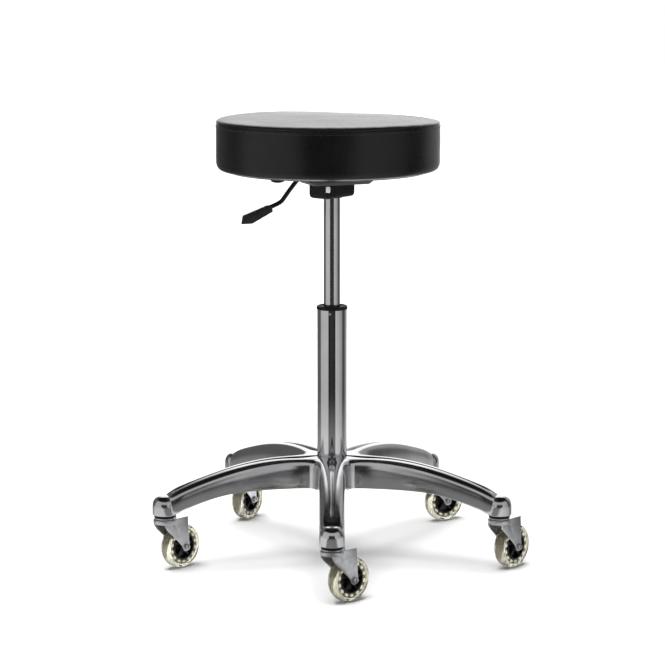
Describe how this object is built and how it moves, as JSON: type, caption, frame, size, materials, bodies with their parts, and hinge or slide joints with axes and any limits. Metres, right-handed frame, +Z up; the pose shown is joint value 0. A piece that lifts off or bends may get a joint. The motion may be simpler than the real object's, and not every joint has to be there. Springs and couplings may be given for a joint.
{
  "type": "dentist stool",
  "caption": "Round padded swivel stool on a height-adjustable gas lift column with a star base and swivel casters.",
  "frame": {"origin": "point on the floor under the column's axis", "axes": "+Z up along the column; -Y points along the front arm, and +X to the right of it, so the lever is on the -X side"},
  "size_m": [0.6312, 0.6132, 0.7478],
  "materials": {
    "cast_aluminium": "die-cast, polished",
    "chrome_tube": "bright chrome on tube",
    "cylinder_chrome": "ground and chromed, slightly satin",
    "zinc_plate": "pressed sheet, zinc plated",
    "bright_steel": "turned, plated",
    "black_plastic": "moulded, fine texture",
    "hub_plastic": "moulded nylon, glossy",
    "paddle_plastic": "moulded, ribbed grip",
    "black_steel": "gloss black paint on rod",
    "grey_steel": "dark powder coat on pressed steel",
    "clear_tyre": "clear soft polyurethane, slightly yellow",
    "rubber": "moulded black rubber",
    "nylon": "natural nylon",
    "leatherette": "black coated fabric, fine grain, satin",
    "foam": "cut polyurethane foam",
    "plywood": "bare plywood",
    "black_fabric": "black non-woven cloth"
  },
  "bodies": {
    "base": {"star_base": "cast_aluminium", "stand_tube": "chrome_tube", "tube_collar": "black_plastic", "guide_bush": "nylon", "thrust_ball_cage": "nylon", "caster_stem_front": "bright_steel", "caster_dust_ring_front": "black_plastic", "caster_stem_right": "bright_steel", "caster_dust_ring_right": "black_plastic", "caster_stem_back_right": "bright_steel", "caster_dust_ring_back_right": "black_plastic", "caster_stem_back_left": "bright_steel", "caster_dust_ring_back_left": "black_plastic", "caster_stem_left": "bright_steel", "caster_dust_ring_left": "black_plastic"},
    "gas_rod": {"thrust_washer": "bright_steel", "rubber_bumper": "rubber", "retaining_clip": "bright_steel", "piston_rod": "cylinder_chrome", "piston": "nylon"},
    "seat": {"gas_cylinder": "cylinder_chrome", "cylinder_end_cap": "nylon", "taper_socket": "bright_steel", "mechanism_housing": "black_plastic", "mounting_plate": "grey_steel", "lever_pivot_pin": "bright_steel", "mounting_bolt_1": "bright_steel", "mounting_bolt_2": "bright_steel", "mounting_bolt_3": "bright_steel", "mounting_bolt_4": "bright_steel", "seat_board": "plywood", "seat_foam": "foam", "seat_cover_top": "leatherette", "seat_cover_band": "leatherette", "dust_cover": "black_fabric", "underside_cap": "rubber"},
    "release_button": {"release_button": "bright_steel"},
    "lever": {"lever_cam": "bright_steel", "lever_rod": "black_steel", "lever_paddle": "paddle_plastic"},
    "caster_front": {"caster_fork_front": "zinc_plate", "caster_axle_front": "bright_steel"},
    "wheel_front": {"caster_hub_front": "hub_plastic", "caster_tyre_front": "clear_tyre"},
    "caster_right": {"caster_fork_right": "zinc_plate", "caster_axle_right": "bright_steel"},
    "wheel_right": {"caster_hub_right": "hub_plastic", "caster_tyre_right": "clear_tyre"},
    "caster_back_right": {"caster_fork_back_right": "zinc_plate", "caster_axle_back_right": "bright_steel"},
    "wheel_back_right": {"caster_hub_back_right": "hub_plastic", "caster_tyre_back_right": "clear_tyre"},
    "caster_back_left": {"caster_fork_back_left": "zinc_plate", "caster_axle_back_left": "bright_steel"},
    "wheel_back_left": {"caster_hub_back_left": "hub_plastic", "caster_tyre_back_left": "clear_tyre"},
    "caster_left": {"caster_fork_left": "zinc_plate", "caster_axle_left": "bright_steel"},
    "wheel_left": {"caster_hub_left": "hub_plastic", "caster_tyre_left": "clear_tyre"}
  },
  "joints": [
    {"name": "seat_swivel", "type": "hinge", "parent": "base", "child": "gas_rod", "pos_m": [0, 0, 0.135], "axis": [0, 0, 1], "continuous": true},
    {"name": "seat_lift", "type": "slide", "parent": "gas_rod", "child": "seat", "axis": [0, 0, 1], "range_m": [-0.16, 0]},
    {"name": "lever_pull", "type": "hinge", "parent": "seat", "child": "lever", "pos_m": [-0.02, 0, 0.649], "axis": [0, 1, 0], "range_deg": [0, 6], "stiffness_Nm_per_rad": 4, "springref_deg": -5.73},
    {"name": "button_press", "type": "slide", "parent": "seat", "child": "release_button", "axis": [0, 0, -1], "range_m": [0, 0.003], "stiffness_N_per_m": 400, "springref_m": -0.002},
    {"name": "caster_swivel_front", "type": "hinge", "parent": "base", "child": "caster_front", "pos_m": [0, -0.2925, 0.09], "axis": [0, 0, 1], "continuous": true},
    {"name": "wheel_spin_front", "type": "hinge", "parent": "caster_front", "child": "wheel_front", "pos_m": [0.02616, -0.27047, 0.03718], "axis": [0.6441, -0.7649, 0], "continuous": true},
    {"name": "caster_swivel_right", "type": "hinge", "parent": "base", "child": "caster_right", "pos_m": [0.27818, -0.09039, 0.09], "axis": [0, 0, 1], "continuous": true},
    {"name": "wheel_spin_right", "type": "hinge", "parent": "caster_right", "child": "wheel_right", "pos_m": [0.3012, -0.06509, 0.03718], "axis": [0.7396, -0.673, 0], "continuous": true},
    {"name": "caster_swivel_back_right", "type": "hinge", "parent": "base", "child": "caster_back_right", "pos_m": [0.17193, 0.23664, 0.09], "axis": [0, 0, 1], "continuous": true},
    {"name": "wheel_spin_back_right", "type": "hinge", "parent": "caster_back_right", "child": "wheel_back_right", "pos_m": [0.20145, 0.25389, 0.03718], "axis": [0.5045, -0.8634, 0], "continuous": true},
    {"name": "caster_swivel_back_left", "type": "hinge", "parent": "base", "child": "caster_back_left", "pos_m": [-0.17193, 0.23664, 0.09], "axis": [0, 0, 1], "continuous": true},
    {"name": "wheel_spin_back_left", "type": "hinge", "parent": "caster_back_left", "child": "wheel_back_left", "pos_m": [-0.15355, 0.26548, 0.03718], "axis": [0.8434, -0.5373, 0], "continuous": true},
    {"name": "caster_swivel_left", "type": "hinge", "parent": "base", "child": "caster_left", "pos_m": [-0.27818, -0.09039, 0.09], "axis": [0, 0, 1], "continuous": true},
    {"name": "wheel_spin_left", "type": "hinge", "parent": "caster_left", "child": "wheel_left", "pos_m": [-0.25443, -0.06579, 0.03718], "axis": [0.7193, -0.6947, 0], "continuous": true}
  ],
  "couplings": [
    {"joint": "button_press", "follows": "lever_pull", "m_per_rad": 0.025}
  ]
}
